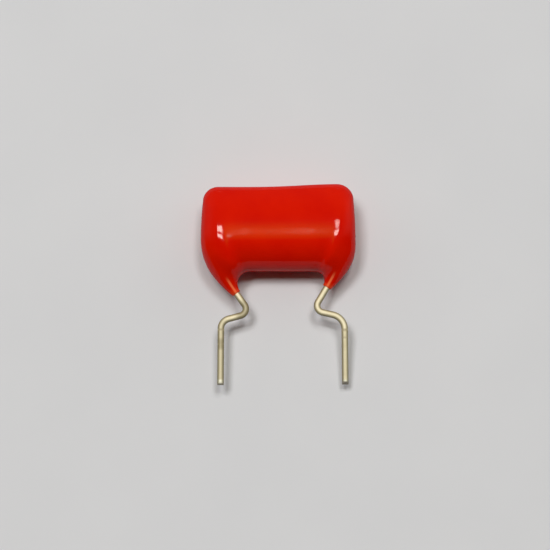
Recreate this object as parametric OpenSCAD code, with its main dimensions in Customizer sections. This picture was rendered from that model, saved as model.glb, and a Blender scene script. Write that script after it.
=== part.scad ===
// Dipped film capacitor with two kinked radial leads, lying on its broad side.
// Millimetres. +X runs from lead to lead, the leads point to -Y and +Z is up.
// Plan heights and depths are measured from the lower edge of the body, between its two legs.

/* [Body] */
// Width of the coated body, from side to side
body_w = 18.6; // [18:0.1:22]
// Height of the coated body, from its lower edge to the right shoulder
body_h = 10.45; // [10:0.05:13]
// Thickness of the coated body
body_t = 7.5; // [7:0.1:10]
// How much lower the left shoulder is than the right one
shoulder_drop = 0.36; // [0:0.02:0.6]
// How far the top edge dips between the shoulders
top_dip = 0.12; // [0:0.02:0.5]
// How far each side leans in from its widest place up to its shoulder
shoulder_in = 0.22; // [0:0.02:0.5]
// How far each broad face sinks in its middle
face_sink = 0.04; // [0:0.02:0.3]
// Corner radius of the left shoulder
left_corner_r = 1.8; // [1:0.1:2.6]
// Corner radius of the right shoulder
right_corner_r = 2.0; // [1:0.1:2.6]
// How far the thickest place of the body lies below the middle of its height
crest_shift = 1.25; // [0:0.05:1.5]
// Fullness of a cross-section towards the top edge and the sides: 2 is an ellipse, more is squarer
outer_fullness = 5; // [3:0.2:6]
// Fullness of a cross-section towards the lower edge
lower_fullness = 2.1; // [2:0.1:3]
// Radius to which each broad face is crowned, up and down from its thickest place
crown_r = 20; // [16:1:60]
// Width over which each broad face rolls off towards a side
end_roll_w = 3.3; // [2.4:0.1:4.5]
// Radius of that roll-off
end_roll_r = 9.4; // [7:0.2:20]

/* [Legs of the coat] */
// Thickness of the film of coat that ends each leg
leg_film = 0.15; // [0.06:0.01:0.3]
// Radius of the hollow between the left leg and the lower edge
left_hollow_r = 1.5; // [1:0.1:1.8]
// Radius of the hollow between the right leg and the lower edge
right_hollow_r = 1.1; // [0.8:0.1:1.6]
// Length of thin coat that runs on along the left lead
left_tail = 0.4; // [0.1:0.05:0.8]
// Length of thin coat that runs on along the right lead
right_tail = 0.2; // [0.1:0.05:0.8]
// Height at which the left side starts to slope in to its leg
left_flank_h = 3.6; // [3.2:0.1:5]
// Height at which the right side starts to slope in to its leg
right_flank_h = 2.9; // [2.5:0.1:4]
// Angle at which each side's slope spreads out from its lead
flank_spread = 15; // [8:1:24]
// How far the left slope keeps that angle
left_flank_reach = 2.6; // [2.2:0.1:3]
// How far the right slope keeps that angle
right_flank_reach = 2.7; // [2.2:0.1:3]
// How far the left side keeps straight as it starts to slope
left_flank_hold = 2.8; // [2.4:0.1:3.4]
// How far the right side keeps straight as it starts to slope
right_flank_hold = 1.8; // [1.4:0.1:2.4]
// Extra thickness of the coat where it narrows to a leg, as a share of its width
flank_plump = 0.2; // [0:0.02:0.3]

/* [Film winding] */
// Thickness of coat over each broad face of the film roll, at the thickest place
face_coat = 0.85; // [0.7:0.05:1.2]
// Thickness of coat below the film roll
lower_coat = 1.1; // [0.9:0.05:1.5]
// Thickness of coat above the film roll, at the dip of the top edge
upper_coat = 0.8; // [0.6:0.05:1.2]
// Thickness of coat beyond the sprayed metal at each end, wire included
end_coat = 2.0; // [1.8:0.05:2.4]
// Thickness of the sprayed metal on each end of the roll
contact_t = 0.4; // [0.2:0.05:0.6]

/* [Leads] */
// Diameter of the lead wire
wire_d = 0.8; // [0.6:0.05:0.9]
// How far the wire is melted into the sprayed metal
weld_sink = 0.1; // [0.04:0.01:0.2]
// Length of straight wire that lies against the sprayed metal
weld_l = 5.6; // [4:0.1:6.4]
// Height above the roll's lower edge at which the wire bends away
elbow_lift = 0.2; // [0.05:0.05:0.3]
// Bend radius where the wire bends away
elbow_r = 1.2; // [0.8:0.1:1.8]
// Distance of the left kink's inmost point from the middle of the part
left_kink_x = 3.88; // [3.4:0.02:4.4]
// Distance of the right kink's inmost point from the middle of the part
right_kink_x = 4.66; // [4:0.02:5]
// Depth of the left kink's inmost point
left_kink_depth = 4.6; // [4.4:0.1:6]
// Depth of the right kink's inmost point
right_kink_depth = 4.2; // [4:0.1:6]
// Bend radius of both kinks
kink_r = 0.85; // [0.7:0.05:1]
// Fall of the left lead on its way back out, in degrees
left_fall = 15; // [5:1:25]
// Fall of the right lead on its way back out, in degrees
right_fall = 13; // [5:1:25]
// Distance of the left lead's straight end from the middle of the part
left_pitch = 6.85; // [6.6:0.05:8]
// Distance of the right lead's straight end from the middle of the part
right_pitch = 7.95; // [7.6:0.05:8.4]
// Bend radius of the left knee
left_knee_r = 1.2; // [0.9:0.1:1.5]
// Bend radius of the right knee
right_knee_r = 1.8; // [0.9:0.1:2]
// Length of the left lead's straight end
left_straight = 6.7; // [4:0.1:10]
// Length of the right lead's straight end
right_straight = 6.4; // [4:0.1:7]
// Outward lean of the left lead's straight end, in degrees
left_lean = 0.3; // [0:0.1:3]
// Outward lean of the right lead's straight end, in degrees
right_lean = 0.9; // [0:0.1:3]
// Droop of the left lead's straight end towards the table, in degrees
left_droop = 4; // [1:1:14]
// Droop of the right lead's straight end towards the table, in degrees
right_droop = 17; // [1:1:24]
// Bend radius of both droops
droop_r = 1.0; // [0.8:0.1:2]
// Angle between the wire and each face that the pinch cut leaves on its tip
cut_angle = 38; // [25:1:60]
// Thickness of the blunt edge between the two faces of a cut tip
cut_edge = 0.3; // [0.1:0.05:0.5]

/* [Hidden] */
LEFT = -1;
RIGHT = 1;

// Points round a cross-section of the coat, and stations along each stretch of its outline
ring_points = 40;
flank_steps = 11;
side_steps = 3;
corner_steps = 6;
top_steps = 14;
roll_fn = 96;

// Sides of the bent wire, its largest turn between two rings, and how far its facets stay inside the round
wire_sides = 20;
bend_step = 13;
facet_step = 0.004;
// Lap of the bent wire with the straight end of a lead
lap = 0.2;
wire_fn = 48;

// Sharpness with which the thickness follows a narrow section, and spacing of points round a section
taper_power = 8;
ring_spread = 0.7;

// Values that differ between the two sides
function pick(side, l, r) = side == LEFT ? l : r;
function kink_x(side) = pick(side, left_kink_x, right_kink_x);
function kink_depth(side) = pick(side, left_kink_depth, right_kink_depth);
function fall(side) = pick(side, left_fall, right_fall);
function lean(side) = pick(side, left_lean, right_lean);
function droop(side) = pick(side, left_droop, right_droop);
function pitch(side) = pick(side, left_pitch, right_pitch);
function knee_r(side) = pick(side, left_knee_r, right_knee_r);
function straight(side) = pick(side, left_straight, right_straight);
function hollow_r(side) = pick(side, left_hollow_r, right_hollow_r);
function tail(side) = pick(side, left_tail, right_tail);
function flank_h(side) = pick(side, left_flank_h, right_flank_h);
function flank_reach(side) = pick(side, left_flank_reach, right_flank_reach);
function flank_hold(side) = pick(side, left_flank_hold, right_flank_hold);
function corner_r(side) = pick(side, left_corner_r, right_corner_r);
function shoulder_h(side) = body_h - pick(side, shoulder_drop, 0);

wire_r = wire_d / 2;
leg_r = wire_r + leg_film;
mid_z = body_t / 2;
half_w = body_w / 2;

// The film roll fills the coat up to the thickness that the coat has on each side of it
winding_t = body_t - 2 * face_coat;
winding_h = body_h - shoulder_drop - top_dip - lower_coat - upper_coat;
winding_y = lower_coat + winding_h / 2;
contact_x = half_w - end_coat;
winding_x = contact_x - contact_t;
weld_x = contact_x + wire_r - weld_sink;
elbow_y = lower_coat + elbow_lift;

// The slanted wire is the common tangent of the elbow's arc and the kink's arc
bend_sum = elbow_r + kink_r;
function arc_offset(side) = [weld_x - kink_x(side) - bend_sum, elbow_y + kink_depth(side)];
function slant_run(side) = sqrt(arc_offset(side) * arc_offset(side) - bend_sum * bend_sum);
function slant(side) = atan2(arc_offset(side).x, arc_offset(side).y) + atan2(bend_sum, slant_run(side));

// Way back out from the kink to the knee
function return_run(side) =
    (pitch(side) - kink_x(side) - kink_r * (1 - sin(fall(side)))
    - knee_r(side) * (cos(lean(side)) - sin(fall(side)))) / cos(fall(side));

// Depth of a lead's tip, and the shift that centres the part on its origin
function tip_depth(side) =
    kink_depth(side) + kink_r * cos(fall(side)) + return_run(side) * sin(fall(side))
    + knee_r(side) * (cos(fall(side)) - sin(lean(side)))
    + (droop_r * sin(droop(side)) + straight(side) * cos(droop(side))) * cos(lean(side));
centre_y = (max(tip_depth(LEFT), tip_depth(RIGHT)) - body_h) / 2;

// One side of the coat in plan: x is the distance from the middle, y the height above the lower edge.
// The hollow's arc touches the lower edge and, a film away, the slanted wire.
function inward(side) = [-cos(slant(side)), sin(slant(side))];
function along(side) = [-sin(slant(side)), -cos(slant(side))];
function elbow_end(side) = [weld_x - elbow_r * (1 - cos(slant(side))), elbow_y - elbow_r * sin(slant(side))];
function hollow_centre(side) = [
    elbow_end(side).x - (hollow_r(side) + leg_r
        + (hollow_r(side) + elbow_end(side).y) * sin(slant(side))) / cos(slant(side)),
    -hollow_r(side)];
function leg_end(side) = hollow_centre(side) - inward(side) * (hollow_r(side) + leg_r);
function leg_outer(side) = leg_end(side) - inward(side) * leg_r;

function bezier(p, t) =
    p[0] * pow(1 - t, 3) + p[1] * 3 * t * pow(1 - t, 2) + p[2] * 3 * t * t * (1 - t) + p[3] * pow(t, 3);
function flank(side) = [
    leg_outer(side),
    leg_outer(side) + flank_reach(side) * [sin(slant(side) + flank_spread), cos(slant(side) + flank_spread)],
    [half_w, flank_h(side) - flank_hold(side)],
    [half_w, flank_h(side)]];
function side_top(side) = shoulder_h(side) - corner_r(side);
function side_points(side) = concat(
    [for (i = [0:flank_steps]) bezier(flank(side), i / flank_steps)],
    [for (i = [1:side_steps]) let (t = i / side_steps)
        [half_w - shoulder_in * t * t, flank_h(side) + (side_top(side) - flank_h(side)) * t]],
    [for (i = [1:corner_steps]) let (a = 90 * i / corner_steps)
        [half_w - shoulder_in - corner_r(side) * (1 - cos(a)), side_top(side) + corner_r(side) * sin(a)]]);

// Outline of the whole coat, from the left leg over the top to the right leg
function ease(t) = t * t * (3 - 2 * t);
function mirrored(p) = [-p.x, p.y];
function backwards(list) = [for (i = [len(list) - 1:-1:0]) list[i]];
top_left = -half_w + shoulder_in + left_corner_r;
top_right = half_w - shoulder_in - right_corner_r;
top_points = [for (i = [1:top_steps - 1]) let (t = i / top_steps)
    [top_left + (top_right - top_left) * t,
     shoulder_h(LEFT) + shoulder_drop * ease(t) - top_dip * pow(sin(180 * t), 2)]];
outer_points = concat(
    [for (p = side_points(LEFT)) mirrored(p)], top_points, backwards(side_points(RIGHT)));

// Each outline point is paired with the point of the hollow or lower edge that it faces
function unit(v) = v / norm(v);
function hollow_point(p, centre, r) = centre + r * unit(p - centre);
function facing(p) =
    -p.x > hollow_centre(LEFT).x ? hollow_point(p, mirrored(hollow_centre(LEFT)), left_hollow_r)
    : p.x > hollow_centre(RIGHT).x ? hollow_point(p, hollow_centre(RIGHT), right_hollow_r)
    : [p.x, 0];

// How far a section is from a round leg, at 0, to the full body, at 1
function section_half(p) = norm(p - facing(p)) / 2;
function fullness_at(half) = ease(min(1, max(0, (half - leg_r) / (mid_z - leg_r))));

// Thickness follows the width of a section where it is narrow, and sinks a little in the middle
function taper(u) = u / pow(1 + pow(u, taper_power), 1 / taper_power);
function plump_half(half) = half * (1 + flank_plump * fullness_at(half));
function raw_half_t(p) =
    mid_z * taper(plump_half(section_half(p)) / mid_z) - face_sink * pow(cos(90 * p.x / half_w), 2);

// Thickness that the crown and the roll-off towards the sides take away at a plan point
crest_y = body_h / 2 - crest_shift;
function fall_away(distance, r) = distance * distance / (2 * r);
function lost(q) =
    fall_away(q.y - crest_y, crown_r) + fall_away(max(0, abs(q.x) - half_w + end_roll_w), end_roll_r);

// The thickest place of a section, and the scale that gives the body its full thickness there
function shift_at(half) = fullness_at(half) * crest_shift / (body_h / 2);
function crest(p) = (p + facing(p)) / 2 - (p - facing(p)) / 2 * shift_at(section_half(p));
function crest_half_t(p) = raw_half_t(p) * (1 - fullness_at(section_half(p)) * lost(crest(p)) / mid_z);
raw_max = max([for (p = outer_points) crest_half_t(p)]);
function section_half_t(p) = raw_half_t(p) * mid_z / raw_max;

// One ring of points: an uneven superellipse that stands on the plan line through centre along way
function arch(s, power) = pow(1 - pow(s, power), 1 / power);
function ring(centre, way, half, half_t) =
    let (full = fullness_at(half))
    let (shift = shift_at(half))
    [for (k = [0:ring_points - 1])
        let (a = 360 * k / ring_points)
        let (s = pow(abs(cos(a)), ring_spread))
        let (power = 2 + full * ((cos(a) > 0 ? outer_fullness : lower_fullness) - 2))
        let (q = centre + way * half * (s * (sign(cos(a)) + shift) - shift))
        [q.x, q.y, mid_z + sign(sin(a)) * half_t * arch(s, power) * (1 - full * lost(q) / mid_z)]];
function body_ring(p) =
    let (half = section_half(p))
    ring((p + facing(p)) / 2, unit(p - facing(p)), half, section_half_t(p));
function tail_ring(side) =
    let (end = leg_end(side) + along(side) * tail(side), way = -inward(side), r = wire_r + leg_film / 2)
    ring([side * end.x, end.y], [side * way.x, way.y], r, r);
coat_rings = concat([tail_ring(LEFT)], [for (p = outer_points) body_ring(p)], [tail_ring(RIGHT)]);

// Solid through a row of closed rings with flat ends
module loft(rings) {
    n = len(rings[0]);
    final = len(rings) - 1;
    walls = [for (i = [0:final - 1], k = [0:n - 1], half = [0, 1])
        let (a = i * n + k, b = i * n + (k + 1) % n)
        half == 0 ? [a, a + n, b + n] : [a, b + n, b]];
    first_end = [for (k = [0:n - 1]) k];
    last_end = [for (k = [n - 1:-1:0]) final * n + k];
    polyhedron(points = [for (r = rings, p = r) p], faces = concat(walls, [first_end, last_end]));
}

// A place on a wire: point, heading, left and up
function moved(f, run) = [f[0] + run * f[1], f[1], f[2], f[3]];
function swung(f, turn, r) = [
    f[0] + r * (sin(abs(turn)) * f[1] + sign(turn) * (1 - cos(turn)) * f[2]),
    cos(turn) * f[1] + sin(turn) * f[2],
    cos(turn) * f[2] - sin(turn) * f[1],
    f[3]];
function nodded(f, turn, r) = let (g = swung([f[0], f[1], f[3], f[2]], turn, r)) [g[0], g[1], g[3], g[2]];

// Places along steps of [straight run, turn to the left, bend radius]
function bend_places(f, turn, r) =
    let (n = ceil(abs(turn) / bend_step)) [for (i = [1:n]) swung(f, turn * i / n, r)];
function last(list) = list[len(list) - 1];
function walk(f, steps, i = 0) =
    i == len(steps) ? []
    : let (start = moved(f, steps[i][0]))
      let (part = concat([start], bend_places(start, steps[i][1], steps[i][2])))
      concat(part, walk(last(part), steps, i + 1));

// A lead from its welded end: elbow, slant, kink, way back, knee and droop
function lead_steps(side) = [
    [weld_l, -side * slant(side), elbow_r],
    [slant_run(side), side * (slant(side) + 90 - fall(side)), kink_r],
    [return_run(side), -side * (90 - fall(side) - lean(side)), knee_r(side)]];
function weld_top(side) = [[side * weld_x, elbow_y + weld_l, mid_z], [0, -1, 0], [1, 0, 0], [0, 0, 1]];
function flat_places(side) = concat([weld_top(side)], walk(weld_top(side), lead_steps(side)));
function lead_places(side) =
    let (flat = flat_places(side), n = ceil(droop(side) / bend_step))
    concat(flat, [for (i = [1:n]) nodded(last(flat), -droop(side) * i / n, droop_r)]);

function wire_ring(f) = [for (k = [0:wire_sides - 1]) let (a = 360 * k / wire_sides)
    f[0] + (wire_r - facet_step) * (cos(a) * f[2] + sin(a) * f[3])];

// The two slanted faces of a pinch cut, on a tip that points along +X
module pinch_cut() {
    for (m = [0, 1])
        mirror([0, 0, m])
            translate([0, 0, cut_edge / 2])
                rotate([0, cut_angle, 0])
                    translate([-2 * wire_d, -wire_d, 0])
                        cube([4 * wire_d, 2 * wire_d, wire_d]);
}

// The straight end is a true cylinder, and the bent wire runs on a little way before and inside it
module lead_form(side) {
    places = lead_places(side);
    straight_start = last(places);
    loft([for (f = concat(places, [moved(straight_start, 2 * lap)])) wire_ring(f)]);
    translate(straight_start[0])
        rotate([0, droop(side), -90 + side * lean(side)])
            difference() {
                translate([lap, 0, 0])
                    rotate([0, 90, 0])
                        cylinder(d = wire_d, h = straight(side) - lap, $fn = wire_fn);
                translate([straight(side), 0, 0])
                    pinch_cut();
            }
}

// Flattened roll between two distances along X
module roll(from_x, to_x) {
    translate([from_x, winding_y, mid_z])
        rotate([90, 0, 90])
            linear_extrude(to_x - from_x)
                union() {
                    square([winding_h - winding_t, winding_t], center = true);
                    for (s = [-1, 1])
                        translate([s * (winding_h - winding_t) / 2, 0])
                            circle(d = winding_t, $fn = roll_fn);
                }
}

module contact_form(side) {
    difference() {
        roll(min(side * winding_x, side * contact_x), max(side * winding_x, side * contact_x));
        lead_form(side);
    }
}

module centred() {
    translate([0, centre_y, 0])
        children();
}

module coat() {
    color([0.82, 0.12, 0.03])
        centred()
            difference() {
                loft(coat_rings);
                roll(-contact_x, contact_x);
                lead_form(LEFT);
                lead_form(RIGHT);
            }
}

module film_winding() {
    color([0.75, 0.76, 0.78])
        centred()
            roll(-winding_x, winding_x);
}

module left_end_contact() {
    color([0.55, 0.55, 0.54])
        centred()
            contact_form(LEFT);
}

module right_end_contact() {
    color([0.55, 0.55, 0.54])
        centred()
            contact_form(RIGHT);
}

module left_lead() {
    color([0.86, 0.82, 0.70])
        centred()
            lead_form(LEFT);
}

module right_lead() {
    color([0.86, 0.82, 0.70])
        centred()
            lead_form(RIGHT);
}

coat();
film_winding();
left_end_contact();
right_end_contact();
left_lead();
right_lead();
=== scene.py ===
# %% [markdown]
# # A dipped film capacitor on a pale table
# The real part is a small roll of metallised film. A tinned wire is welded to each end of the roll,
# and the whole was dipped in orange-red epoxy, which ran down the wires a little way and set with a
# gloss. The packed part holds its sizes. This lesson puts a fine skin, finishes, light and a camera
# on that frame, and moves nothing in it.

# %% Load the packed part as a fixed frame
import math
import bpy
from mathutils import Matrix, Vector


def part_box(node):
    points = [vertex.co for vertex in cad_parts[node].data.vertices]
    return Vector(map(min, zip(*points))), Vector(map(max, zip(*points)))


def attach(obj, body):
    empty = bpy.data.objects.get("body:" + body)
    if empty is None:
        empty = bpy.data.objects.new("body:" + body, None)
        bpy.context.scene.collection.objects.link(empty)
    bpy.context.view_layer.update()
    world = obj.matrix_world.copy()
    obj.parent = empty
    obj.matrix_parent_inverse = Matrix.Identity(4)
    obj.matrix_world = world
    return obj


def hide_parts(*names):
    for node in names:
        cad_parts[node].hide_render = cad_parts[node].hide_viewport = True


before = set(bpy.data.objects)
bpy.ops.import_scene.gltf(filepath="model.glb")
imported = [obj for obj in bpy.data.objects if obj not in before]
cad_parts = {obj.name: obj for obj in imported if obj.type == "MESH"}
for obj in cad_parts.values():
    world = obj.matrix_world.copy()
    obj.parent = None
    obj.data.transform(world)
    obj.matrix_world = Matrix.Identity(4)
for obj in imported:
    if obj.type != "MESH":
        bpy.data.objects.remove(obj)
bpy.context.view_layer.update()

from types import SimpleNamespace

import bpy
import numpy as np
from mathutils import Matrix, Vector

MM = 0.001
print("nodes:", sorted(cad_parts))

# %% [markdown]
# ## Sizes of the part
# The width, the thickness and the place of the body come from the frame's own boxes. The bends of
# the two leads and the hollows between the legs can't be read from a box, so they are named here, as
# the designer of the part named them. Only the tails, the thin coat past each leg, are shorter than
# the designer's. Plan heights and depths count from the body's lower edge, and distances across
# count from the middle, so one set of functions serves both sides.

# %% Sizes of the body, its legs and its leads
coat_low, coat_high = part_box("coat")
HALF_W = (coat_high.x - coat_low.x) / 2
MID_Z = (coat_high.z - coat_low.z) / 2
BODY_H = 10.45 * MM
LOWER_EDGE_Y = coat_high.y - BODY_H
SHOULDER_DROP = 0.36 * MM

WIRE_R = 0.4 * MM
LEG_FILM = 0.15 * MM
LEG_R = WIRE_R + LEG_FILM

left = SimpleNamespace(
    sign=-1, name="left", hollow_r=1.5 * MM, tail=0.08 * MM, corner_r=1.8 * MM, drop=SHOULDER_DROP,
    flank_h=3.6 * MM, flank_reach=2.6 * MM, flank_hold=2.8 * MM,
    kink_x=3.88 * MM, kink_depth=4.6 * MM, fall=math.radians(15), pitch=6.85 * MM, knee_r=1.2 * MM,
    straight=6.7 * MM, lean=math.radians(0.3), droop=math.radians(4))
right = SimpleNamespace(
    sign=1, name="right", hollow_r=1.1 * MM, tail=0.05 * MM, corner_r=2.0 * MM, drop=0.0,
    flank_h=2.9 * MM, flank_reach=2.7 * MM, flank_hold=1.8 * MM,
    kink_x=4.66 * MM, kink_depth=4.2 * MM, fall=math.radians(13), pitch=7.95 * MM, knee_r=1.8 * MM,
    straight=6.4 * MM, lean=math.radians(0.9), droop=math.radians(17))
print(f"body {2 * HALF_W / MM:.1f} mm wide and {2 * MID_Z / MM:.1f} mm thick")

# %% [markdown]
# ## The slanted wires and the hollows
# Each wire leaves its weld, bends inwards, runs on a slant out of the body and turns back at a kink.
# The slant is the common tangent of those two bends. The coat follows the wire as a leg, and between
# the leg and the lower edge lies a hollow, an arc that touches both. Working these out from the
# bends keeps the coat on its wire.

# %% Work out each slant, way back and hollow
contact_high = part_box("right_end_contact")[1]
WELD_SINK = 0.1 * MM
WELD_X = contact_high.x + WIRE_R - WELD_SINK
LOWER_COAT = 1.1 * MM
ELBOW_LIFT = 0.2 * MM
ELBOW_Y = LOWER_COAT + ELBOW_LIFT
ELBOW_R = 1.2 * MM
KINK_R = 0.85 * MM


def plan_side(side):
    bend_sum = ELBOW_R + KINK_R
    across = WELD_X - side.kink_x - bend_sum
    down = ELBOW_Y + side.kink_depth
    side.slant_run = math.sqrt(across**2 + down**2 - bend_sum**2)
    side.slant = math.atan2(across, down) + math.atan2(bend_sum, side.slant_run)
    knee_span = side.knee_r * (math.cos(side.lean) - math.sin(side.fall))
    kink_span = KINK_R * (1 - math.sin(side.fall))
    side.return_run = (side.pitch - side.kink_x - kink_span - knee_span) / math.cos(side.fall)
    sine, cosine = math.sin(side.slant), math.cos(side.slant)
    side.inward = np.array([-cosine, sine])
    side.along = np.array([-sine, -cosine])
    elbow_end = np.array([WELD_X - ELBOW_R * (1 - cosine), ELBOW_Y - ELBOW_R * sine])
    reach = side.hollow_r + LEG_R + (side.hollow_r + elbow_end[1]) * sine
    side.hollow_centre = np.array([elbow_end[0] - reach / cosine, -side.hollow_r])
    side.leg_end = side.hollow_centre - side.inward * (side.hollow_r + LEG_R)


for side in (left, right):
    plan_side(side)
    print(side.name, "slant, degrees:", round(math.degrees(side.slant), 2))

# %% [markdown]
# ## The outline of the dipped body
# Seen from above, the coat's outline climbs from one leg over a flank, a side, a rounded shoulder and
# a top edge with a slight dip, and comes down the other side to the other leg. Each stretch is a
# simple curve: a Bezier for the flank, a parabola for the side, an arc for the shoulder.

# %% Draw one side and the top edge
FLANK_STEPS, SIDE_STEPS, CORNER_STEPS, TOP_STEPS = 60, 20, 26, 90
FLANK_SPREAD = math.radians(15)
SHOULDER_IN = 0.22 * MM
TOP_DIP = 0.12 * MM


def ease(t):
    return t * t * (3 - 2 * t)


def bezier(p, t):
    t = t[:, None]
    return p[0] * (1 - t)**3 + p[1] * 3 * t * (1 - t)**2 + p[2] * 3 * t * t * (1 - t) + p[3] * t**3


def side_outline(side):
    leg_outer = side.leg_end - side.inward * LEG_R
    spread_way = side.slant + FLANK_SPREAD
    flank = [
        leg_outer,
        leg_outer + side.flank_reach * np.array([math.sin(spread_way), math.cos(spread_way)]),
        np.array([HALF_W, side.flank_h - side.flank_hold]),
        np.array([HALF_W, side.flank_h])]
    side_top = BODY_H - side.drop - side.corner_r
    t = np.linspace(0, 1, SIDE_STEPS + 1)[1:]
    wall = np.stack([HALF_W - SHOULDER_IN * t * t, side.flank_h + (side_top - side.flank_h) * t], 1)
    a = np.linspace(0, math.pi / 2, CORNER_STEPS + 1)[1:]
    corner = np.stack([HALF_W - SHOULDER_IN - side.corner_r * (1 - np.cos(a)),
                       side_top + side.corner_r * np.sin(a)], 1)
    return np.concatenate([bezier(flank, np.linspace(0, 1, FLANK_STEPS + 1)), wall, corner])


def top_outline():
    start = -HALF_W + SHOULDER_IN + left.corner_r
    end = HALF_W - SHOULDER_IN - right.corner_r
    t = np.linspace(0, 1, TOP_STEPS + 1)[1:-1]
    rise = SHOULDER_DROP * ease(t) - TOP_DIP * np.sin(math.pi * t)**2
    return np.stack([start + (end - start) * t, BODY_H - SHOULDER_DROP + rise], 1)


body_outer = np.concatenate([side_outline(left) * (-1, 1), top_outline(), side_outline(right)[::-1]])
print("points of the body's outline:", len(body_outer))

# %% [markdown]
# ## What each point of the outline faces
# A section of the coat stands between two points. Over the roll the second one lies straight below on
# the lower edge, and beside a leg it lies on the hollow, in the direction of the hollow's centre. A
# thin round of coat runs on along the wire past each leg, and ends in a rounded lip.

# %% Pair the outline with its facing points
TAIL_STEPS, LIP_STEPS = 8, 5
LIP_L = 0.04 * MM


def facing_points(outer):
    """The point of the hollow or of the lower edge that each outline point faces."""
    inner = np.stack([outer[:, 0], np.zeros(len(outer))], 1)
    for side in (left, right):
        centre = side.hollow_centre * (side.sign, 1)
        beyond = side.sign * outer[:, 0] > side.hollow_centre[0]
        way = outer[beyond] - centre
        inner[beyond] = centre + side.hollow_r * way / np.linalg.norm(way, axis=1)[:, None]
    return inner


def tail_pairs(side):
    """Outer and facing points of the thin coat on the wire, from its lip up to the leg."""
    t = np.linspace(1, 0, TAIL_STEPS + 1)[:-1]
    lip = np.linspace(math.pi / 2, 0, LIP_STEPS + 1)[:-1]
    runs = np.concatenate([side.tail + LIP_L * np.sin(lip), side.tail * t])
    film = LEG_FILM / 2
    radii = WIRE_R + np.concatenate([film * np.cos(lip), film * (2 - t)])
    middle = side.leg_end + runs[:, None] * side.along
    step = radii[:, None] * side.inward
    return (middle - step) * (side.sign, 1), (middle + step) * (side.sign, 1)


body_inner = facing_points(body_outer)
left_tail, right_tail = tail_pairs(left), tail_pairs(right)
outer_points = np.concatenate([left_tail[0], body_outer, right_tail[0][::-1]])
inner_points = np.concatenate([left_tail[1], body_inner, right_tail[1][::-1]])
print("stations from leg to leg:", len(outer_points))

# %% [markdown]
# ## A helper for node trees
# Geometry trees and shader trees are both nodes and links. This small class adds a node, sets its
# sockets from plain values and links its sockets to other nodes, so the cells below read like sums.

# %% Make a helper that adds and links nodes
class Nodes:
    """Adds nodes to one tree. A plain value sets a socket, and another node's socket is linked to it."""

    def __init__(self, tree):
        self.tree = tree

    def add(self, kind, inputs=None, **settings):
        node = self.tree.nodes.new(kind)
        for name, value in settings.items():
            setattr(node, name, value)
        for key, value in (inputs or {}).items():
            if isinstance(value, bpy.types.NodeSocket):
                self.tree.links.new(value, node.inputs[key])
            else:
                node.inputs[key].default_value = value
        return node

    def math(self, operation, *values):
        return self.add("ShaderNodeMath", dict(enumerate(values)), operation=operation).outputs[0]

    def vector(self, operation, *values):
        node = self.add("ShaderNodeVectorMath", dict(enumerate(values)), operation=operation)
        number = operation in ("LENGTH", "DISTANCE", "DOT_PRODUCT")
        return node.outputs["Value" if number else "Vector"]

    def scaled(self, vector, factor):
        inputs = {0: vector, "Scale": factor}
        return self.add("ShaderNodeVectorMath", inputs, operation="SCALE").outputs[0]

    def parts(self, vector):
        return self.add("ShaderNodeSeparateXYZ", {0: vector}).outputs

    def joined(self, x=0.0, y=0.0, z=0.0):
        return self.add("ShaderNodeCombineXYZ", {0: x, 1: y, 2: z}).outputs[0]

    def smooth(self, value, start, end):
        return self.add("ShaderNodeMapRange", {0: value, 1: start, 2: end},
                        interpolation_type="SMOOTHSTEP").outputs[0]

    def named(self, kind, name):
        return self.add("GeometryNodeInputNamedAttribute", {"Name": name}, data_type=kind).outputs[0]

    def attribute(self, name, output="Fac"):
        return self.add("ShaderNodeAttribute", attribute_name=name).outputs[output]


print("node helper:", [name for name in vars(Nodes) if not name.startswith("_")])

# %% [markdown]
# ## Trees that sweep a ring along a line
# The body and both wires follow a line. So a geometry tree sweeps a ring along the line, which gives
# the faces of a closed tube, and then sets every point of that tube by a rule. How such a tree
# starts, sweeps and ends is the same for the body and the wires, so it is written once.

# %% Start, sweep and end a geometry tree
SOCKET_KINDS = {int: "NodeSocketInt", float: "NodeSocketFloat", tuple: "NodeSocketVector"}


def geometry_tree(name, sizes):
    """An empty geometry tree with one named input for each size."""
    tree = bpy.data.node_groups.new(name, "GeometryNodeTree")
    tree.interface.new_socket("Geometry", in_out="INPUT", socket_type="NodeSocketGeometry")
    for size, value in sizes.items():
        tree.interface.new_socket(size, in_out="INPUT", socket_type=SOCKET_KINDS[type(value)])
    tree.interface.new_socket("Material", in_out="INPUT", socket_type="NodeSocketMaterial")
    tree.interface.new_socket("Geometry", in_out="OUTPUT", socket_type="NodeSocketGeometry")
    nodes = Nodes(tree)
    return nodes, nodes.add("NodeGroupInput").outputs


def captured(nodes, geometry, **fields):
    """Keeps fields of a curve's points, so that the tube made from it can still read them."""
    node = nodes.add("GeometryNodeCaptureAttribute", {"Geometry": geometry})
    for index, (name, (kind, field)) in enumerate(fields.items()):
        node.capture_items.new(kind, name)
        nodes.tree.links.new(field, node.inputs[index + 1])
    return node.outputs[:len(fields) + 1]


def tube_along(nodes, line, ring_points):
    """A closed tube along a line, and for each of its points the share of a turn round the ring."""
    ring = nodes.add("GeometryNodeCurvePrimitiveCircle", {"Resolution": ring_points}).outputs[0]
    share = nodes.add("GeometryNodeSplineParameter").outputs["Factor"]
    ring, turn = captured(nodes, ring, turn=("FLOAT", share))
    parts = {"Curve": line, "Profile Curve": ring, "Fill Caps": True}
    tube = nodes.add("GeometryNodeCurveToMesh", parts)
    return tube.outputs[0], turn


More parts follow.
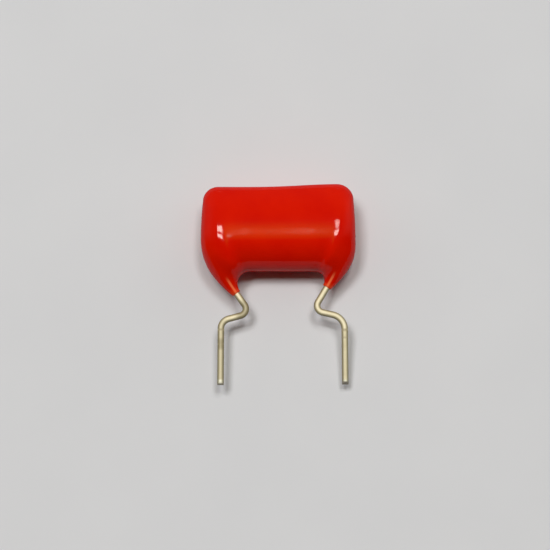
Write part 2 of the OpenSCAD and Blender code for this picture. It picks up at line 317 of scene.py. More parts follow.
def finish_tree(nodes, geometry, smooth_angle, material):
    """Smooth faces with crisp edges, then the tree's last nodes."""
    angle = nodes.add("GeometryNodeInputMeshEdgeAngle").outputs["Unsigned Angle"]
    sharp = nodes.add("FunctionNodeCompare", {0: angle, 1: smooth_angle}, operation="GREATER_THAN")
    edged = nodes.add("GeometryNodeStoreNamedAttribute",
                      {"Geometry": geometry, "Name": "sharp_edge", "Value": sharp.outputs[0]},
                      data_type="BOOLEAN", domain="EDGE")
    smooth = nodes.add("GeometryNodeSetShadeSmooth", {"Geometry": edged.outputs[0]})
    real = nodes.add("GeometryNodeRealizeInstances", {"Geometry": smooth.outputs[0]})
    painted = nodes.add("GeometryNodeSetMaterial", {"Geometry": real.outputs[0], "Material": material})
    nodes.add("NodeGroupOutput", {0: painted.outputs[0]})


print("kinds of tree inputs:", sorted(SOCKET_KINDS.values()))

# %% [markdown]
# ## From a guide line to a plain mesh
# Each of those pieces starts as a bare line of points, with a few values stored on them, and the tree
# runs on it as a modifier. Exporters read plain meshes only, so the result is kept as the piece's own
# mesh, and the modifier comes off.

# %% Draw a guide line and shape it by a tree
def new_object(name, data):
    thing = bpy.data.objects.new(name, data)
    bpy.context.scene.collection.objects.link(thing)
    return thing


def store_values(mesh, name, values):
    """Stores one number or one vector for each point of a mesh."""
    kind, slot = ("FLOAT_VECTOR", "vector") if np.ndim(values) == 2 else ("FLOAT", "value")
    attribute = mesh.attributes.new(name, kind, "POINT")
    attribute.data.foreach_set(slot, np.ravel(values).astype(np.float32))


def guide_line(name, points, **attributes):
    """A piece that is only a line of points yet, with one value per point for each attribute."""
    mesh = bpy.data.meshes.new(name)
    mesh.from_pydata([tuple(p) for p in points], [(i, i + 1) for i in range(len(points) - 1)], [])
    for key, values in attributes.items():
        store_values(mesh, key, values)
    return new_object(name, mesh)


def shape_by_tree(piece, tree, sizes, material):
    """Runs a tree on a piece's guide line and keeps the result as the piece's plain mesh."""
    modifier = piece.modifiers.new("shape", "NODES")
    modifier.node_group = tree
    values = {**sizes, "Material": material}
    for item in tree.interface.items_tree:
        if item.in_out == "INPUT" and item.name in values:
            modifier[item.identifier] = values[item.name]
    graph = bpy.context.evaluated_depsgraph_get()
    mesh = bpy.data.meshes.new_from_object(piece.evaluated_get(graph))
    mesh.name = piece.name
    piece.modifiers.remove(modifier)
    piece.data = mesh
    return piece


print("guide lines ready")

# %% [markdown]
# ## A start for every finish
# Each finish is a small shader tree: some noise for what is uneven, colours blended by it, a bump,
# and one Principled shader. These helpers take up what all the finishes share.

# %% Make helpers for finishes
NOISE_LOW, NOISE_HIGH = 0.3, 0.7


def new_material(name):
    material = bpy.data.materials.new(name)
    material.use_nodes = True
    material.node_tree.nodes.clear()
    return material, Nodes(material.node_tree)


def object_place(nodes):
    return nodes.add("ShaderNodeTexCoord").outputs["Object"]


def noise(nodes, place, scale, detail=2.0, rough=0.5):
    inputs = {"Vector": place, "Scale": scale, "Detail": detail, "Roughness": rough}
    return nodes.add("ShaderNodeTexNoise", inputs).outputs["Fac"]


def spread(nodes, value, low=0.0, high=1.0):
    """Maps the usual range of a noise onto the range from low to high."""
    inputs = {0: value, 1: NOISE_LOW, 2: NOISE_HIGH, 3: low, 4: high}
    return nodes.add("ShaderNodeMapRange", inputs).outputs[0]


def blend_colours(nodes, factor, first, second):
    mix = nodes.add("ShaderNodeMix", {0: factor, 6: first, 7: second}, data_type="RGBA")
    return mix.outputs[2]


def bumps(nodes, height, strength, distance):
    inputs = {"Strength": strength, "Distance": distance, "Height": height}
    return nodes.add("ShaderNodeBump", inputs).outputs[0]


def surface(nodes, sockets):
    """The shader with its sockets set, joined to the material's output."""
    shader = nodes.add("ShaderNodeBsdfPrincipled", sockets)
    nodes.add("ShaderNodeOutputMaterial", {0: shader.outputs[0]})


print("helpers for finishes ready")

# %% [markdown]
# ## The finish of the coat
# Pigmented epoxy is opaque under a clear, glossy face. So the colour is a base without any shine of
# its own, and the gloss is the shader's coat on top. Over the body the colour is a deep orange-red.
# Where the film is thin, at the end of each leg, it turns lighter and more orange. Along the top of
# each leg a narrow, paler line is a painted highlight, put into the colour where the gloss would catch
# the lamps. The dip left a faint unevenness, like orange peel, which the bump gives. The skin tells how
# thick the film is and where the painted highlight lies, as two attributes.

# %% Mix the orange-red epoxy
DEEP_RED, LIGHT_RED = (0.63, 0.0050, 0.0, 1), (0.69, 0.0088, 0.0, 1)
THIN_FILM = (0.76, 0.07, 0.014, 1)
# The paler colour along each leg is a painted highlight, where the gloss would catch the lamps.
LEG_HIGHLIGHT_COLOUR = (0.90, 0.16, 0.06, 1)
OPAQUE_WALL, THIN_WALL = 0.34 * MM, 0.04 * MM
CLOUD_SCALE, GLOSS_SCALE, PEEL_SCALE = 260.0, 700.0, 1500.0


def epoxy_finish():
    material, nodes = new_material("orange_red_epoxy")
    place = object_place(nodes)
    clouds = spread(nodes, noise(nodes, place, CLOUD_SCALE, detail=3.0))
    deep = blend_colours(nodes, clouds, DEEP_RED, LIGHT_RED)
    thin = nodes.smooth(nodes.attribute("wall"), OPAQUE_WALL, THIN_WALL)
    film = blend_colours(nodes, thin, deep, THIN_FILM)
    colour = blend_colours(nodes, nodes.attribute("painted_leg_highlight"), film, LEG_HIGHLIGHT_COLOUR)
    gloss = spread(nodes, noise(nodes, place, GLOSS_SCALE), low=0.05, high=0.08)
    grain = noise(nodes, place, PEEL_SCALE, detail=1.0)
    peel = bumps(nodes, grain, strength=0.03, distance=0.02 * MM)
    surface(nodes, {
        "Base Color": colour, "Roughness": gloss, "Specular IOR Level": 0.0, "Normal": peel,
        "Coat Weight": 0.26, "Coat Roughness": 0.065, "Coat IOR": 1.6, "Coat Normal": peel})
    return material


epoxy = epoxy_finish()
print("finish:", epoxy.name)

# %% [markdown]
# ## The skin of the dipped body
# The body is the main piece, and its shape follows a rule: at each station of the outline stands a
# rounded section that spans from the outline to the point that it faces. So a geometry tree makes it,
# from named sizes. Those of the form are the designer's, apart from the flat half of the face, which
# runs a little further out here, so that the bright spots fall where the real face turns down to its
# ends. The points of the ring, the easing, the ripple and the nick belong to this skin alone.

# %% Name the sizes of the skin
FACE_SINK = 0.04 * MM
CREST_SHIFT = 1.25 * MM
FLANK_PLUMPNESS = 0.2
TAPER_POWER = 8


def thickness_peak(outer, inner):
    """Largest half thickness by the rule before it is scaled to the part's own thickness."""
    half = np.linalg.norm(outer - inner, axis=1) / 2
    full = ease(np.clip((half - LEG_R) / (MID_Z - LEG_R), 0, 1))
    wide = half / MID_Z * (1 + FLANK_PLUMPNESS * full)
    raw = MID_Z * wide / (1 + wide**TAPER_POWER)**(1 / TAPER_POWER)
    return float(np.max(raw - FACE_SINK * np.cos(math.pi / 2 * outer[:, 0] / HALF_W)**2))


skin_sizes = {
    "Ring Points": 200, "Ring Spread": 0.7, "Middle Height": MID_Z, "Half Width": HALF_W,
    "Leg Radius": LEG_R, "Flank Plumpness": FLANK_PLUMPNESS, "Taper Power": float(TAPER_POWER),
    "Face Sink": FACE_SINK, "Thickness Scale": MID_Z / thickness_peak(body_outer, body_inner),
    "Upper Fullness": 5.0, "Lower Fullness": 2.1, "Crest Share": CREST_SHIFT / (BODY_H / 2),
    "Crest Line": LOWER_EDGE_Y + BODY_H / 2 - CREST_SHIFT, "Crown Radius": 20.0 * MM,
    "Flat Half": 6.43 * MM, "Right Flat Gain": 0.33 * MM, "End Radius": 9.4 * MM,
    "Easing Rounds": 20, "Easing Start": 0.8, "Easing End": 0.4,
    "Ripple Depth": 0.012 * MM, "Ripple Scale": 190.0,
    "Nick Place": (9.1 * MM, 5.4 * MM, 4.6 * MM), "Nick Radius": 0.26 * MM, "Nick Depth": 0.1 * MM,
    "Edge Angle": math.radians(50)}
print("named sizes of the skin:", len(skin_sizes))

# %% [markdown]
# ## How thick and how round a section is
# Where the coat is narrow, at a leg, a section is a circle, as thick as it is wide. Over the roll it
# levels off at the thickness of the body, is a little sunk midway between the ends, and is squarer on
# its outer side. A power of 2 draws a circle, and a higher one a squarer arch.

# %% Build the rules of thickness and roundness
CIRCLE_POWER = 2.0


def half_thickness(nodes, size, outer, half, full):
    """Half the thickness of a section from its half width. Full is 0 at a leg and 1 over the roll."""
    plump = nodes.math("MULTIPLY", half, nodes.math("MULTIPLY_ADD", full, size["Flank Plumpness"], 1.0))
    wide = nodes.math("DIVIDE", plump, size["Middle Height"])
    power = nodes.math("POWER", wide, size["Taper Power"])
    root = nodes.math("DIVIDE", 1.0, size["Taper Power"])
    narrow = nodes.math("DIVIDE", plump, nodes.math("POWER", nodes.math("ADD", power, 1.0), root))
    across = nodes.math("DIVIDE", nodes.parts(outer)[0], size["Half Width"])
    midway = nodes.math("COSINE", nodes.math("MULTIPLY", across, math.pi / 2))
    sink = nodes.math("MULTIPLY", nodes.math("MULTIPLY", midway, midway), size["Face Sink"])
    return nodes.math("MULTIPLY", nodes.math("SUBTRACT", narrow, sink), size["Thickness Scale"])


def section_arch(nodes, size, turn, full):
    """For a share of a turn: the way out from the crest, its side, and the height of the arch there."""
    angle = nodes.math("MULTIPLY", turn, 2 * math.pi)
    cosine, sine = nodes.math("COSINE", angle), nodes.math("SINE", angle)
    outward = nodes.math("GREATER_THAN", cosine, 0.0)
    gain = nodes.math("SUBTRACT", size["Upper Fullness"], size["Lower Fullness"])
    fullness = nodes.math("MULTIPLY_ADD", gain, outward, size["Lower Fullness"])
    squarer = nodes.math("SUBTRACT", fullness, CIRCLE_POWER)
    bend = nodes.math("MULTIPLY_ADD", squarer, full, CIRCLE_POWER)
    reach = nodes.math("POWER", nodes.math("ABSOLUTE", cosine), size["Ring Spread"])
    closing = nodes.math("SUBTRACT", 1.0, nodes.math("POWER", reach, bend))
    arch = nodes.math("POWER", nodes.math("MAXIMUM", closing, 0.0), nodes.math("DIVIDE", 1.0, bend))
    return reach, nodes.math("SIGN", cosine), nodes.math("MULTIPLY", arch, nodes.math("SIGN", sine))


print("thickness scale:", round(skin_sizes["Thickness Scale"], 4))

# %% [markdown]
# ## Where a section stands and how its face rolls off
# The thickest place of the body, its crest, lies nearer to the legs than to the top edge. From there
# the face is crowned from edge to edge, and it rolls off towards both ends of the roll.

# %% Build the rules of the crest and of the crowned face
def plan_place(nodes, size, ends, half, full, reach, side_sign):
    """Where a point of a section lies, seen from above."""
    outer, inner = ends
    centre = nodes.scaled(nodes.vector("ADD", outer, inner), 0.5)
    way = nodes.vector("NORMALIZE", nodes.vector("SUBTRACT", outer, inner))
    swing = nodes.math("MULTIPLY", reach, side_sign)
    shift = nodes.math("MULTIPLY", size["Crest Share"], full)
    room = nodes.math("MULTIPLY_ADD", reach, shift, swing)
    out = nodes.math("MULTIPLY", nodes.math("SUBTRACT", room, shift), half)
    return nodes.vector("ADD", centre, nodes.scaled(way, out))


def fall_away(nodes, distance, radius):
    """How far a round face of this radius has fallen at a distance from its top."""
    squared = nodes.math("MULTIPLY", distance, distance)
    return nodes.math("DIVIDE", squared, nodes.math("MULTIPLY", radius, 2.0))


def kept_height(nodes, size, plan, full):
    """The share of its height that the crowned face keeps at a place."""
    plan_x, plan_y, _ = nodes.parts(plan)
    from_crest = nodes.math("SUBTRACT", plan_y, size["Crest Line"])
    on_right = nodes.math("GREATER_THAN", plan_x, 0.0)
    flat = nodes.math("MULTIPLY_ADD", on_right, size["Right Flat Gain"], size["Flat Half"])
    past_flat = nodes.math("SUBTRACT", nodes.math("ABSOLUTE", plan_x), flat)
    from_flat = nodes.math("MAXIMUM", past_flat, 0.0)
    crowned = fall_away(nodes, from_crest, size["Crown Radius"])
    fallen = nodes.math("ADD", crowned, fall_away(nodes, from_flat, size["End Radius"]))
    lost = nodes.math("MULTIPLY", nodes.math("DIVIDE", fallen, size["Middle Height"]), full)
    return nodes.math("SUBTRACT", 1.0, lost)


print("flat half of the face, mm:", round(skin_sizes["Flat Half"] / MM, 2))

# %% [markdown]
# ## The skin as it set
# Set epoxy has no sharp turn, so the skin is eased along its crest by blurring the places of its
# points. A slow ripple over the roll and one tiny nick in the right flank are pressed inwards, so the
# skin stays inside the sizes of the part.

# %% Build the rule of the skin as a geometry tree
def set_skin(nodes, size, geometry, reach, full):
    """Eases the crest and presses in the ripple and the nick."""
    here = nodes.add("GeometryNodeInputPosition").outputs[0]
    by_crest = nodes.smooth(reach, size["Easing Start"], size["Easing End"])
    blurred = nodes.add("GeometryNodeBlurAttribute", {
        "Value": here, "Iterations": size["Easing Rounds"],
        "Weight": nodes.math("MULTIPLY", by_crest, full)}, data_type="FLOAT_VECTOR").outputs[0]
    eased = nodes.add("GeometryNodeSetPosition", {"Geometry": geometry, "Position": blurred}).outputs[0]
    wave = nodes.math("MULTIPLY", noise(nodes, here, size["Ripple Scale"], detail=1.0), full)
    ripple = nodes.math("MULTIPLY", wave, size["Ripple Depth"])
    near = nodes.smooth(nodes.vector("DISTANCE", here, size["Nick Place"]), size["Nick Radius"], 0.0)
    nick = nodes.math("MULTIPLY", near, size["Nick Depth"])
    press = nodes.math("MULTIPLY", nodes.math("ADD", ripple, nick), -1.0)
    inwards = nodes.scaled(nodes.add("GeometryNodeInputNormal").outputs[0], press)
    return nodes.add("GeometryNodeSetPosition", {"Geometry": eased, "Offset": inwards}).outputs[0]


def skin_tree():
    nodes, size = geometry_tree("dipped_skin", skin_sizes)
    curve = nodes.add("GeometryNodeMeshToCurve", {"Mesh": size["Geometry"]}).outputs[0]
    position = nodes.add("GeometryNodeInputPosition").outputs[0]
    line, outer = captured(nodes, curve, outer=("VECTOR", position))
    tube, turn = tube_along(nodes, line, size["Ring Points"])
    inner = nodes.named("FLOAT_VECTOR", "facing")
    half = nodes.math("MULTIPLY", nodes.vector("DISTANCE", outer, inner), 0.5)
    full = nodes.smooth(half, size["Leg Radius"], size["Middle Height"])
    reach, side_sign, arch = section_arch(nodes, size, turn, full)
    plan = plan_place(nodes, size, (outer, inner), half, full, reach, side_sign)
    section = nodes.math("MULTIPLY", arch, half_thickness(nodes, size, outer, half, full))
    rise = nodes.math("MULTIPLY", section, kept_height(nodes, size, plan, full))
    lift = nodes.joined(z=nodes.math("ADD", rise, size["Middle Height"]))
    shaped = nodes.add("GeometryNodeSetPosition", {
        "Geometry": tube, "Position": nodes.vector("ADD", plan, lift)}).outputs[0]
    uneven = set_skin(nodes, size, shaped, reach, full)
    bare = nodes.add("GeometryNodeRemoveAttribute", {"Geometry": uneven, "Name": "facing"})
    finish_tree(nodes, bare.outputs[0], size["Edge Angle"], size["Material"])
    return nodes.tree


dipped_skin = skin_tree()
print("nodes in the tree of the skin:", len(dipped_skin.nodes))

# %% [markdown]
# ## Dipping the body
# The outline becomes the guide line. Each of its points carries the point that it faces and the wall
# of coat over the wire there, and the tree does the rest.

# %% Dip the body
THICKEST_WALL = 1.0 * MM


def in_plan(points):
    """Plan points moved to the part's own place, at height zero."""
    return np.column_stack([points[:, 0], points[:, 1] + LOWER_EDGE_Y, np.zeros(len(points))])


half_widths = np.linalg.norm(outer_points - inner_points, axis=1) / 2
coat_wall = np.clip(half_widths - WIRE_R, 0, THICKEST_WALL)
coat_skin = guide_line("coat_skin", in_plan(outer_points), facing=in_plan(inner_points), wall=coat_wall)
shape_by_tree(coat_skin, dipped_skin, skin_sizes, epoxy)
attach(coat_skin, "root")
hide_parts("coat")
print("faces of the skin:", len(coat_skin.data.polygons))

# %% [markdown]
# ## A painted highlight along the legs
# Along the top of each leg the colour carries a narrow, paler line, a painted highlight where the
# gloss would catch the lamps. It fades further up the leg. Each point of the skin stores how much.

# %% Mark the painted highlight along each leg
SHINE_LENGTHS = {"left": 2.2 * MM, "right": 2.0 * MM}
SHINE_FADE = 1.0 * MM
SHINE_HALF = 0.16 * MM
SHINE_EDGE = 1.3
SHINE_PAST_LEG = 0.5 * MM


def leg_highlight_share(mesh):
    """How much painted highlight lies at each point, along the top of a leg, from 0 to 1."""
    points = np.array([v.co for v in mesh.vertices])
    shine = np.zeros(len(points))
    for side in (left, right):
        from_end = (points[:, :2] - (0, LOWER_EDGE_Y)) * (side.sign, 1) - side.leg_end
        off_axis = np.abs(from_end @ side.inward)
        up_leg = -from_end @ side.along
        beside = ease(np.clip(SHINE_EDGE - off_axis / SHINE_HALF, 0, 1))
        fading = ease(np.clip((SHINE_LENGTHS[side.name] - up_leg) / SHINE_FADE, 0, 1))
        on_leg = (points[:, 2] > MID_Z) * (up_leg > -SHINE_PAST_LEG)
        shine = np.maximum(shine, beside * fading * on_leg)
    return shine


shine = leg_highlight_share(coat_skin.data)
# The share of painted highlight along the legs, stored on the skin.
store_values(coat_skin.data, "painted_leg_highlight", shine)
print("points over a wire:", int((shine > 0.5).sum()))

# %% [markdown]
# ## The finish of the tinned wire
# The leads are wire drawn through a bath of tin. The tin is matt and cream, with fine streaks along
# the wire, and one lead has darker stretches. Painted shade makes both sides of the wire olive-brown.
# So it is a rough, coloured surface and not a mirror. A painted highlight lies on the tin beside each
# cut, and painted shade darkens the raw metal at the very end, which is also rougher. The forming tool
# left marks across the wire. All this has to follow the bends, so the wire stores, as attributes,
# where each point lay before the wire was bent, and how much darker stretch, tool mark, painted
# highlight or painted shade on the raw end it has.

# %% Tin the wire
PALE_TIN, BRIGHT_TIN = (0.88, 0.79, 0.55, 1), (1.0, 0.92, 0.68, 1)
# The stretch colour only darkens the tin along some lengths of one lead.
STREAK, DARKER_STRETCH = (0.76, 0.67, 0.45, 1), (0.34, 0.29, 0.17, 1)
# Beside each cut the colour is a painted highlight, and at the raw end it is painted shade.
TIP_HIGHLIGHT, SHADED_RAW_METAL = (1.0, 0.98, 0.83, 1), (0.24, 0.22, 0.19, 1)
# The side colour is painted shade: both sides of the wire are darker than its top.
SIDE_SHADE, MARK_STAIN = (0.20, 0.17, 0.09, 1), (0.42, 0.36, 0.22, 1)
STREAK_SCALE, STREAK_SQUEEZE, PATCH_SCALE = 9000.0, (1.0, 1.0, 0.06), 1300.0
STREAK_SHARE, SIDE_SHADE_SHARE, MARK_SHARE = 0.3, 0.9, 0.9
SIDE_SHADE_START, SIDE_SHADE_END = 0.15, 0.8
RAW_ROUGHER = 0.2


def tinned_finish():
    material, nodes = new_material("dull_tin")
    before = nodes.attribute("unbent_place", "Vector")
    drawn = nodes.add("ShaderNodeMapping", {"Vector": before, "Scale": STREAK_SQUEEZE}).outputs[0]
    streaks = noise(nodes, drawn, STREAK_SCALE, detail=3.0)
    patches = noise(nodes, before, PATCH_SCALE, detail=3.0)
    tin = blend_colours(nodes, spread(nodes, patches), PALE_TIN, BRIGHT_TIN)
    lined = blend_colours(nodes, spread(nodes, streaks, high=STREAK_SHARE), tin, STREAK)
    darkened = blend_colours(nodes, nodes.attribute("darker_share"), lined, DARKER_STRETCH)
    tipped = blend_colours(nodes, nodes.attribute("squeezed"), darkened, TIP_HIGHLIGHT)
    aside = nodes.math("DIVIDE", nodes.math("ABSOLUTE", nodes.parts(before)[0]), WIRE_R)
    # Painted shade, darker towards both sides of the wire.
    shade_by_side = nodes.math("MULTIPLY", nodes.smooth(aside, SIDE_SHADE_START, SIDE_SHADE_END), SIDE_SHADE_SHARE)
    side_shaded = blend_colours(nodes, shade_by_side, tipped, SIDE_SHADE)
    mark = nodes.math("MULTIPLY", nodes.attribute("tool_mark"), MARK_SHARE)
    marked = blend_colours(nodes, mark, side_shaded, MARK_STAIN)
    # The raw end is rougher, and its dark colour is painted shade.
    raw = nodes.attribute("shaded_raw_end")
    colour = blend_colours(nodes, raw, marked, SHADED_RAW_METAL)
    sheen = spread(nodes, patches, low=0.38, high=0.48)
    rough = nodes.math("ADD", sheen, nodes.math("MULTIPLY", raw, RAW_ROUGHER))
    lines = bumps(nodes, streaks, strength=0.25, distance=0.01 * MM)
    surface(nodes, {"Base Color": colour, "Roughness": rough, "Normal": lines})
    return material


tinned = tinned_finish()
print("finish:", tinned.name)

# %% [markdown]
# ## The bends of a lead
# A lead is a length of round wire, bent by a forming tool, so its path is walked in the same way: a
# straight run, an arc, the next run, the next arc, and last a slight droop towards the table.

# %% Walk along the bends of both leads
BEND_STEP = math.radians(3)
WELD_L = 5.6 * MM
DROOP_R = 1.0 * MM
SAME_PLACE = 1e-6 * MM


def walk(place, run, turn, radius, upright=False):
    """Points of a straight run and then an arc. A place is a point, a heading, a left and an up."""
    point, heading, left_way, up = place
    start = point + run * heading
    across = up if upright else left_way
    steps = np.linspace(0, turn, 2 + int(abs(turn) / BEND_STEP))
    points = [start + radius * (abs(math.sin(a)) * heading + np.sign(turn) * (1 - math.cos(a)) * across)
              for a in steps]
    ahead = math.cos(turn) * heading + math.sin(turn) * across
    aside = math.cos(turn) * across - math.sin(turn) * heading
    end = (points[-1], ahead, left_way, aside) if upright else (points[-1], ahead, aside, up)
    return points, end


def step_lengths(points):
    return np.linalg.norm(np.diff(points, axis=0), axis=1)


def lead_path(side):
    start = np.array([side.sign * WELD_X, LOWER_EDGE_Y + ELBOW_Y + WELD_L, MID_Z])
    place = (start, np.array([0.0, -1, 0]), np.array([1.0, 0, 0]), np.array([0.0, 0, 1]))
    quarter = math.pi / 2
    bends = [
        (WELD_L, -side.sign * side.slant, ELBOW_R, False),
        (side.slant_run, side.sign * (side.slant + quarter - side.fall), KINK_R, False),
        (side.return_run, -side.sign * (quarter - side.fall - side.lean), side.knee_r, False),
        (0.0, -side.droop, DROOP_R, True)]
    points = [start]
    for bend in bends:
        more, place = walk(place, *bend)
        points += more
    points = np.array(points + [place[0] + side.straight * place[1]])
    return points[np.concatenate([[True], step_lengths(points) > SAME_PLACE])]


paths = {side.name: lead_path(side) for side in (left, right)}
for name, path in paths.items():
    print(name, f"wire, mm: {step_lengths(path).sum() / MM:.1f}")

# %% [markdown]
# ## The marks on a wire
# The forming tool left two marks below the knee. The tin is darker in stretches, a painted highlight
# lies beside the cut, and painted shade darkens the raw end. Each of these lies at a place along the
# wire, counted from the tip, so each is kept as a share that is full near its place and fades.

# %% Name the sizes of a wire and place its marks
wire_sizes = {
    "Wire Radius": WIRE_R, "Sides": 48, "Step": 0.05 * MM, "Cut Angle": math.radians(38),
    "Cut Edge": 0.3 * MM, "Edge Angle": math.radians(24),
    "Upper Mark": 6.6 * MM, "Lower Mark": 0.0, "Lower Mark Share": 0.5,
    "Mark Width": 0.22 * MM, "Mark Depth": 0.01 * MM, "Shaded Raw End": 0.0, "Shaded Raw Fade": 0.1 * MM,
    "Tip Highlight Length": 0.48 * MM, "Tip Highlight Fade": 0.32 * MM,
    "Darker Length": 7.4 * MM, "Darker Fade": 1.0 * MM, "Darker Share": 0.0, "Patch Share": 0.0,
    "Kink Place": 10.7 * MM, "Kink Half": 0.8 * MM, "Mark Half": 0.3 * MM}


def close_to(nodes, to_tip, place, half, fade):
    """1 within half a length of a place along the wire, and fading to 0 beyond it."""
    off = nodes.math("ABSOLUTE", nodes.math("SUBTRACT", to_tip, place))
    return nodes.smooth(off, nodes.math("ADD", half, fade), half)


def wire_marks(nodes, size, to_tip):
    """The stored shares that the finish of the wire reads, apart from the place before bending."""
    upper = close_to(nodes, to_tip, size["Upper Mark"], 0.0, size["Mark Width"])
    lower = close_to(nodes, to_tip, size["Lower Mark"], 0.0, size["Mark Width"])
    faint = nodes.math("MULTIPLY", lower, size["Lower Mark Share"])
    straight = close_to(nodes, to_tip, 0.0, size["Darker Length"], size["Darker Fade"])
    by_kink = close_to(nodes, to_tip, size["Kink Place"], size["Kink Half"], size["Darker Fade"])
    by_mark = close_to(nodes, to_tip, size["Lower Mark"], size["Mark Half"], size["Darker Fade"])
    patches = nodes.math("MULTIPLY", nodes.math("MAXIMUM", by_kink, by_mark), size["Patch Share"])
    darker_run = nodes.math("MULTIPLY", straight, size["Darker Share"])
    return {
        "tool_mark": nodes.math("MAXIMUM", upper, faint),
        "darker_share": nodes.math("MAXIMUM", darker_run, patches),
        # A painted highlight on the tin beside the cut.
        "squeezed": close_to(nodes, to_tip, 0.0, size["Tip Highlight Length"], size["Tip Highlight Fade"]),
        # Painted shade over the raw metal at the very end.
        "shaded_raw_end": close_to(nodes, to_tip, 0.0, size["Shaded Raw End"], size["Shaded Raw Fade"])}


print("named sizes of a wire:", len(wire_sizes))

# %% [markdown]
# ## The sweep of a wire
# A second geometry tree sweeps a round section along the path of a lead. Near the tip it presses the
# section between two slanted faces, as side cutters do, and at the tool marks it pinches the wire a
# little. It stores the marks on the points, where the finish reads them.

# %% Build the sweep of the wire as a geometry tree
def wire_axis(nodes, size):
    """The path in even steps, with its middle, heading, run from the weld and run to the tip."""
    curve = nodes.add("GeometryNodeMeshToCurve", {"Mesh": size["Geometry"]}).outputs[0]
    steps = {"Curve": curve, "Length": size["Step"]}
    even = nodes.add("GeometryNodeResampleCurve", steps, mode="LENGTH").outputs[0]
    run = nodes.add("GeometryNodeSplineParameter").outputs["Length"]
    whole = nodes.add("GeometryNodeSplineLength").outputs["Length"]
    middle = nodes.add("GeometryNodeInputPosition").outputs[0]
    heading = nodes.add("GeometryNodeInputTangent").outputs[0]
    return captured(nodes, even, middle=("VECTOR", middle), heading=("VECTOR", heading),
                    run=("FLOAT", run), to_tip=("FLOAT", nodes.math("SUBTRACT", whole, run)))


def wire_tree():
    nodes, size = geometry_tree("bent_wire", wire_sizes)
    line, middle, heading, run, to_tip = wire_axis(nodes, size)
    tube, turn = tube_along(nodes, line, size["Sides"])
    marks = wire_marks(nodes, size, to_tip)
    pinch = nodes.math("MULTIPLY", marks["tool_mark"], size["Mark Depth"])
    radius = nodes.math("SUBTRACT", size["Wire Radius"], pinch)
    angle = nodes.math("MULTIPLY", turn, 2 * math.pi)
    aside = nodes.math("MULTIPLY", nodes.math("COSINE", angle), radius)
    height = nodes.math("MULTIPLY", nodes.math("SINE", angle), radius)
    half_edge = nodes.math("MULTIPLY", size["Cut Edge"], 0.5)
    room = nodes.math("MULTIPLY_ADD", to_tip, nodes.math("TANGENT", size["Cut Angle"]), half_edge)
    pressed = nodes.math("MINIMUM", nodes.math("ABSOLUTE", height), room)
    level = nodes.math("MULTIPLY", pressed, nodes.math("SIGN", height))
    left_way = nodes.vector("NORMALIZE", nodes.vector("CROSS_PRODUCT", (0.0, 0.0, 1.0), heading))
    up = nodes.vector("CROSS_PRODUCT", heading, left_way)
    offset = nodes.vector("ADD", nodes.scaled(left_way, aside), nodes.scaled(up, level))
    geometry = nodes.add("GeometryNodeSetPosition", {
        "Geometry": tube, "Position": nodes.vector("ADD", middle, offset)}).outputs[0]
    for name, field in {"unbent_place": nodes.joined(aside, height, run), **marks}.items():
        kind = "FLOAT_VECTOR" if name == "unbent_place" else "FLOAT"
        stored = {"Geometry": geometry, "Name": name, "Value": field}
        geometry = nodes.add("GeometryNodeStoreNamedAttribute", stored,
                             data_type=kind, domain="POINT").outputs[0]
    finish_tree(nodes, geometry, size["Edge Angle"], size["Material"])
    return nodes.tree


bent_wire = wire_tree()
print("nodes in the tree of the wire:", len(bent_wire.nodes))

# %% [markdown]
# ## The two leads
# Both leads share the tree. What differs is the path, the place of the lower tool mark, how far the tin
# is darker and how far painted shade covers the raw end, so each lead sets those inputs for itself.

# %% Sweep both leads
own_marks = {
    "left": {"Lower Mark": 4.9 * MM, "Darker Share": 0.42, "Patch Share": 0.85, "Shaded Raw End": 0.14 * MM},
    "right": {"Lower Mark": 5.75 * MM, "Darker Share": 0.0, "Patch Share": 0.0, "Shaded Raw End": 0.38 * MM}}
for side in (left, right):
    lead = guide_line(f"{side.name}_tinned_lead", paths[side.name])
    shape_by_tree(lead, bent_wire, {**wire_sizes, **own_marks[side.name]}, tinned)
    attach(lead, "root")
    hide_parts(f"{side.name}_lead")
    print(lead.name, "faces:", len(lead.data.polygons))

# %% [markdown]
# ## The pieces inside
# The roll of metallised film and the sprayed metal on its ends are sealed in the coat and can't be
# seen, but they are part of the object, so their own solids stay and get finishes of their own: fine
# parallel layers of bright film, and a grainy grey metal.

# %% Finish the film roll and the sprayed ends
DARK_FILM, PALE_FILM = (0.60, 0.61, 0.63, 1), (0.82, 0.83, 0.85, 1)
DARK_GRAIN, PALE_GRAIN = (0.30, 0.30, 0.29, 1), (0.52, 0.52, 0.50, 1)
LAYER_SCALE, LAYER_SQUEEZE, GRAIN_SCALE = 6000.0, (0.05, 1.0, 1.0), 5000.0


def film_finish():
    material, nodes = new_material("metallised_film")
    flat = nodes.add("ShaderNodeMapping", {"Vector": object_place(nodes), "Scale": LAYER_SQUEEZE})
    layers = noise(nodes, flat.outputs[0], LAYER_SCALE)
    surface(nodes, {
        "Base Color": blend_colours(nodes, spread(nodes, layers), DARK_FILM, PALE_FILM),
        "Roughness": spread(nodes, layers, low=0.2, high=0.35), "Metallic": 1.0,
        "Normal": bumps(nodes, layers, strength=0.3, distance=0.01 * MM)})
    return material


def sprayed_finish():
    material, nodes = new_material("sprayed_metal")
    grain = noise(nodes, object_place(nodes), GRAIN_SCALE, detail=4.0, rough=0.7)
    surface(nodes, {
        "Base Color": blend_colours(nodes, spread(nodes, grain), DARK_GRAIN, PALE_GRAIN),
        "Roughness": spread(nodes, grain, low=0.5, high=0.8), "Metallic": 1.0,
        "Normal": bumps(nodes, grain, strength=0.7, distance=0.03 * MM)})
    return material


def repaint(node, material):
    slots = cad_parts[node].data.materials
    slots.clear()
    slots.append(material)
    print(node, "has the finish", material.name)


repaint("film_winding", film_finish())
sprayed = sprayed_finish()
for side in (left, right):
    repaint(f"{side.name}_end_contact", sprayed)

